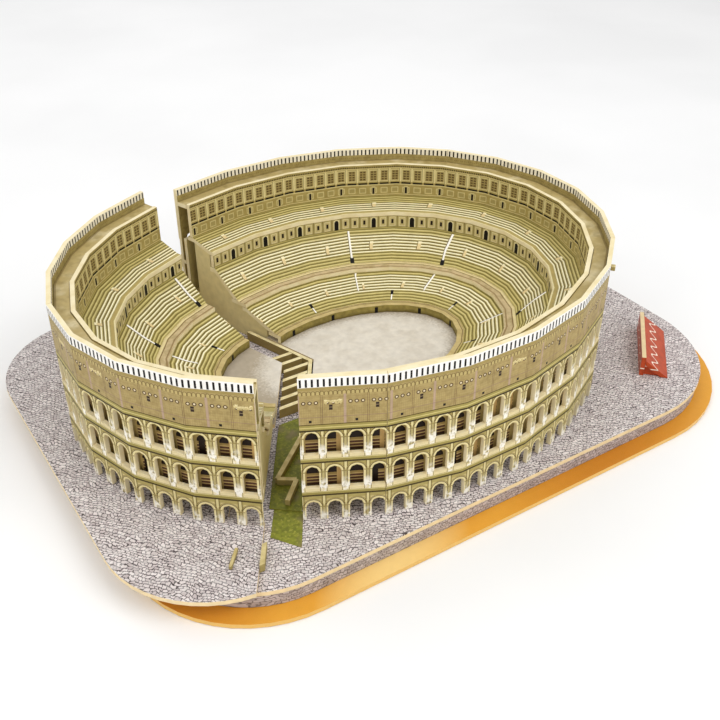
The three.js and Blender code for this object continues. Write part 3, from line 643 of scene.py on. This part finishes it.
def fold_angles():
    """The angles of all the folds, anticlockwise from the front cut."""
    shoulder = math.acos(SHOULDER / HALF_LENGTH)
    ends = (shoulder - math.pi, -shoulder, shoulder, math.pi - shoulder, math.pi + shoulder)
    folds = []
    for (_, facets, _), start, end in zip(STRETCHES, ends, ends[1:]):
        folds += [angle_along(start, end, facet / facets) for facet in range(facets)]
    return folds


FOLDS = fold_angles()
FACETS = len(FOLDS)


def ring_point(fold):
    """A fold's place on the outer wall, in plan."""
    angle = FOLDS[fold % FACETS]
    return HALF_LENGTH * math.cos(angle), HALF_WIDTH * math.sin(angle)


def bay_starts():
    """Bays counted from the front cut, at each fold."""
    counts, total = [], 0.0
    for first, facets, bays in STRETCHES:
        lengths = [math.dist(ring_point(first + i), ring_point(first + i + 1)) for i in range(facets)]
        for length in lengths:
            counts.append(total)
            total += bays * length / sum(lengths)
    return counts + [total]


BAY_STARTS = bay_starts()


def share_across(facet, x, y):
    """How far across a facet a point is, from 0 to 1, its distance in from the outer wall, and how badly
    the facet fits it. A facet's edges lean apart, so the share is the root of a quadratic."""
    outermost, innermost, ruled_out = -60, 125, 100
    c0, s0 = math.cos(FOLDS[facet]), math.sin(FOLDS[facet])
    c1, s1 = math.cos(FOLDS[(facet + 1) % FACETS]), math.sin(FOLDS[(facet + 1) % FACETS])
    dc, ds, spread = c1 - c0, s1 - s0, HALF_LENGTH - HALF_WIDTH
    square = spread * dc * ds
    single = spread * (c0 * ds + s0 * dc) - (x * ds - y * dc)
    plain = spread * c0 * s0 - (x * s0 - y * c0)
    if abs(square) < 1e-9:  # the edges are parallel
        roots = [-plain / single]
    else:
        inside = math.sqrt(max(single * single - 4 * square * plain, 0.0))
        roots = [(-single + inside) / (2 * square), (-single - inside) / (2 * square)]
    found = []
    for share in roots:
        cosine, sine = c0 + share * dc, s0 + share * ds
        inward = HALF_LENGTH - x / cosine if abs(cosine) > abs(sine) else HALF_WIDTH - y / sine
        outside = max(0.0, -share, share - 1)
        apart = math.hypot((HALF_LENGTH - inward) * cosine - x, (HALF_WIDTH - inward) * sine - y)
        beyond = 0 if outermost < inward < innermost else ruled_out
        found.append((outside + apart + beyond, share, inward))
    misfit, share, inward = min(found)
    return share, inward, misfit


def facet_of(x, y):
    """The facet that a point in plan belongs to."""
    return min(range(FACETS), key=lambda facet: share_across(facet, x, y)[2])


# ---------- printed boards of the two sections ----------

def deselect():
    for shown in bpy.context.scene.objects:
        shown.select_set(False)


def take_up(piece):
    """Selects one piece alone and makes it the active one."""
    deselect()
    piece.select_set(True)
    bpy.context.view_layer.objects.active = piece


def side_of(name):
    """The section's body, its first and last folds, its lift, and how far it stands open."""
    if name.startswith("left_"):
        return LEFT, (BACK_CUT, FACETS), LEFT_TOP, (OPENING * SLIDE_AXIS[0], OPENING * SLIDE_AXIS[1])
    return BASE, (0, BACK_CUT), BASE_TOP, (0.0, 0.0)


def crease(piece, folds, shift):
    """Scores a board at each fold of the oval, so that no face runs across one."""
    take_up(piece)
    bpy.ops.object.mode_set(mode="EDIT")
    for fold in range(folds[0] + 1, folds[1]):
        x, y = ring_point(fold)
        angle = FOLDS[fold % FACETS]
        bpy.ops.mesh.select_all(action="SELECT")
        bpy.ops.mesh.bisect(plane_co=((x - shift[0]) / MM, (y - shift[1]) / MM, 0.0),
                            plane_no=(-math.sin(angle), math.cos(angle), 0.0), threshold=WELD)
    bpy.ops.object.mode_set(mode="OBJECT")


def mark_places(piece, lift, shift, faces):
    """Gives every corner its place on the oval, in millimetres, and every face its card or bare foam."""
    flat, end_on = 0.3, 0.4  # a face is a top above the first, and an end above the second
    mesh = piece.data
    place = mesh.attributes.new("place", "FLOAT_VECTOR", "CORNER")
    mesh.materials.clear()
    mesh.materials.append(FOAM)
    slots = {}
    for side, card in faces.items():
        mesh.materials.append(card)
        slots[side] = len(mesh.materials) - 1
    for face in mesh.polygons:
        centre = face.center * MM
        facet = facet_of(centre.x + shift[0], centre.y + shift[1])
        for corner in face.loop_indices:
            spot = mesh.vertices[mesh.loops[corner].vertex_index].co * MM
            share, inward, _ = share_across(facet, spot.x + shift[0], spot.y + shift[1])
            bays = BAY_STARTS[facet] + share * (BAY_STARTS[facet + 1] - BAY_STARTS[facet])
            place.data[corner].vector = (bays * BAY, inward, spot.z - lift)
        start, end = ring_point(facet), ring_point(facet + 1)
        run = Vector((end[0] - start[0], end[1] - start[1], 0)).normalized()
        outward = face.normal.dot(Vector((run.y, -run.x, 0)))
        side = None
        if face.normal.z > flat:
            side = "top"
        elif abs(face.normal.dot(run)) < end_on and abs(face.normal.z) < flat:
            side = "outer" if outward > 0 else "inner"
        face.material_index = slots.get(side, 0)


def print_board(name, faces, folded=True):
    """A board of the ring, cut as the part has it, with its own pictures on its faces."""
    body, folds, lift, shift = side_of(name)
    piece = bpy.data.objects.new("printed_" + name, nodes[name].data.copy())
    bpy.context.scene.collection.objects.link(piece)
    take_up(piece)
    bpy.ops.object.mode_set(mode="EDIT")
    bpy.ops.mesh.select_all(action="SELECT")
    bpy.ops.mesh.remove_doubles(threshold=WELD)
    bpy.ops.object.mode_set(mode="OBJECT")
    if folded:
        crease(piece, folds, shift)
    mark_places(piece, lift, shift, faces)
    for face in piece.data.polygons:
        face.use_smooth = False
    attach(piece, body)
    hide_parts(name)


for name in sorted(nodes):
    if "_facade_" in name:
        print_board(name, {"outer": FACADE, "inner": PARAPET_BACK}, folded=False)

# each ring's pictures, and its slot
RINGS = {
    "gallery_back_wall": ({"outer": GALLERY, "inner": PLAIN}, "facade_print"),
    "lower_gallery_floor": ({"top": PLAIN}, "facade_print"),
    "upper_gallery_floor": ({"top": PLAIN}, "facade_print"),
    "wall_walk": ({"top": WALK}, "seating_print"),
    "attic_inner_wall": ({"inner": ATTIC_INSIDE, "outer": PLAIN}, "seating_print"),
    "upper_seating": ({"top": UPPER_SEATS}, "seating_print"),
    "door_wall": ({"inner": DOORS, "outer": PLAIN}, "seating_print"),
    "middle_seating": ({"top": MIDDLE_SEATS}, "seating_print"),
    "middle_ledge": ({"top": LEDGE}, "seating_print"),
    "lower_seating": ({"top": LOWER_SEATS}, "seating_print"),
    "podium": ({"top": PODIUM_TOP, "inner": PODIUM_FACE}, "seating_print"),
}
for ring, (faces, slot) in RINGS.items():
    for side in ("right_", "left_"):
        print_board(side + ring, faces)


# ---------- carried-over boards ----------

def finish_node(name, material):
    """Gives a carried-over board its own material."""
    target = nodes[name]
    if target.material_slots:
        target.material_slots[0].material = material
    else:
        target.data.materials.append(material)


PAVING = flat_card("laminated_card_pale_paving", paving_turned(0.35))
LEFT_PAVING = flat_card("laminated_card_left_paving", paving_turned(0.9))
RISER = riser_card()
# the gold board's light and dark sweeps are painted reflections and highlights
GOLD = flat_card("laminated_card_gold_painted_reflections", paint_gold, edge="#e3b765", roughness=0.3, mottle=0.02)
SAND = flat_card("laminated_card_arena_sand", paint_sand)
GRASS = flat_card("laminated_card_grass", paint_grass, edge="#7d7a33")
RUBBLE = flat_card("foam_wall_khaki_wrap", paint_rubble, edge="#a08f57")
TRENCH = flat_card("foam_wall_cream_top", lambda tree, spot: ink(
    tree, "#e9dcae", "#d0be86", patches(tree, spot, 5, 0.42, 0.66), share=0.7), edge="#8f7b48")
# painted light: the end walls' and seat ribs' cream, above all on their upright faces, is lighter than their
# light khaki print, to make up for the shade they stand in
END_WALL = flat_card("laminated_card_end_wall_with_painted_light", lambda tree, spot: ink(
    tree, "#efe3b8", "#d9c893", patches(tree, spot, 5, 0.42, 0.66), share=0.7), edge="#dccd98")
PLATE = flat_card("laminated_card_brick_red_plate", paint_plate, facing_up=(-1.1, 0.97), roughness=0.35)

finish_node("gold_base_board", GOLD)
finish_node("base_cobble_board", PAVING)
finish_node("left_cobble_board", LEFT_PAVING)
finish_node("trench_grass_mat", GRASS)
finish_node("trench_ruin_wall", RUBBLE)
finish_node("left_edge_rail", RUBBLE)
for name in nodes:
    if name.startswith("riser_"):
        finish_node(name, RISER)
    elif name.endswith("arena_floor"):
        finish_node(name, SAND)
    elif name.startswith(("trench_side", "trench_cross")):
        finish_node(name, TRENCH)
    elif name.endswith("end_wall") or "_seat_rib_" in name:
        finish_node(name, END_WALL)
    elif name.startswith("nameplate_"):
        finish_node(name, PLATE)


# ---------- small extra boards ----------

# Plan corners in millimetres: the strip of grass before the trenches, and the kerb of the left path
APRON = ((-117.5, -102.7), (-107.9, -117.0), (-94.5, -95.5), (-105.0, -84.0))
KERB = ((-145.1, -113.2), (-143.9, -114.2), (-135.8, -104.8), (-137.0, -103.8))


def small_board(name, corners, bottom, top, material, body):
    """A little flat board, pulled up from its outline in plan; corners and heights in millimetres."""
    thick = (top - bottom) / MM
    deselect()
    bpy.ops.mesh.primitive_plane_add(size=0.01, location=(0.0, 0.0, 0.0))
    board = bpy.context.object
    board.name = name
    order = ((-1, -1), (1, -1), (1, 1), (-1, 1))  # the plane's corners go round as the outline's do
    for vertex in board.data.vertices:
        x, y = corners[order.index((1 if vertex.co.x > 0 else -1, 1 if vertex.co.y > 0 else -1))]
        vertex.co = (x / MM, y / MM, bottom / MM)
    bpy.ops.object.mode_set(mode="EDIT")
    bpy.ops.mesh.select_all(action="SELECT")
    bpy.ops.mesh.extrude_region_move(TRANSFORM_OT_translate={"value": (0.0, 0.0, thick)})
    bpy.ops.mesh.select_all(action="SELECT")
    bpy.ops.mesh.normals_make_consistent(inside=False)
    bpy.ops.mesh.bevel(offset=min(0.25 / MM, thick / 4), segments=1, affect="EDGES")
    bpy.ops.object.mode_set(mode="OBJECT")
    board.data.materials.append(material)
    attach(board, body)


def wall_peg(fold, share, reach, half, bottom, top):
    """A little peg that stands out from a facet of the outer wall, at a share of its width."""
    clear = 0.1  # millimetres of air, so that it cuts into nothing
    (x0, y0), (x1, y1) = ring_point(fold), ring_point(fold + 1)
    run = Vector((x1 - x0, y1 - y0)).normalized()
    out = Vector((run.y, -run.x))
    middle = Vector((x0 + (x1 - x0) * share, y0 + (y1 - y0) * share))
    spots = [middle + run * a + out * b
             for a, b in ((-half, clear), (-half, reach), (half, reach), (half, clear))]
    small_board("wall_peg", [tuple(spot) for spot in spots], bottom, top, RUBBLE, BASE)


small_board("grass_apron", APRON, BASE_TOP + 0.04, BASE_TOP + 0.2, GRASS, BASE)
small_board("left_path_kerb", KERB, LEFT_TOP + 0.1, LEFT_TOP + 2.4, RUBBLE, LEFT)
wall_peg(fold=5, share=0.45, reach=2.6, half=1.6, bottom=BASE_TOP + 76.5, top=BASE_TOP + 79.2)


# ---------- floor, light and camera ----------

# each lamp: its place and size in metres, and its watts
LAMPS = {"soft_key": ((0.35, -0.9, 1.1), 0.9, 8.0), "soft_fill": ((-0.9, -0.35, 0.85), 1.2, 5.0),
         "soft_back": ((0.2, 0.9, 1.0), 1.2, 3.5)}
LAMP_AIM = (0.0, 0.0, 0.03)
ROOM_LIGHT = 0.62
EYE = (-0.2650, -0.4129, 0.3513)
AIM = (0.0036, 0.0039, 0.0135)
TABLE_DROP = 0.0004        # the table lies a hair below the base board


def hold(name, held, place, aim):
    """Puts a lamp or the camera at its place and turns it to its aim."""
    holder = bpy.data.objects.new(name, held)
    holder.location = place
    holder.rotation_euler = (Vector(aim) - Vector(place)).to_track_quat("-Z", "Y").to_euler()
    bpy.context.scene.collection.objects.link(holder)
    return holder


def studio():
    """A white table under soft, even light, and the camera above the front left corner."""
    deselect()
    bpy.ops.mesh.primitive_plane_add(size=6.0, location=(0.0, 0.0, -TABLE_DROP))
    floor = bpy.context.object
    floor.name = "table_top"
    # matt lacquered board: white, without a sheen, and hardly uneven
    material, tree, spot = new_material("matt_white_table")
    colour = ink(tree, "#fbfbfb", "#f6f6f6", patches(tree, spot, 300, 0.4, 0.6))
    shader = add(tree, "ShaderNodeBsdfPrincipled", {"Base Color": colour, "Roughness": 0.8})
    add(tree, "ShaderNodeOutputMaterial", {"Surface": shader})
    floor.data.materials.append(material)

    world = bpy.data.worlds.new("soft_room")
    bpy.context.scene.world = world
    world.use_nodes = True
    background = world.node_tree.nodes["Background"]
    background.inputs["Color"].default_value = (1.0, 1.0, 1.0, 1.0)
    background.inputs["Strength"].default_value = ROOM_LIGHT
    for name, (place, size, watts) in LAMPS.items():
        lamp = bpy.data.lights.new(name, "AREA")
        lamp.size = size
        lamp.energy = watts
        hold(name, lamp, place, LAMP_AIM)

    camera = bpy.data.cameras.new("camera")
    camera.lens = 48.0
    camera.sensor_width = 36.0
    camera.clip_start = 0.01
    bpy.context.scene.camera = hold("camera", camera, EYE, AIM)
    bpy.context.scene.view_settings.view_transform = "Standard"


studio()
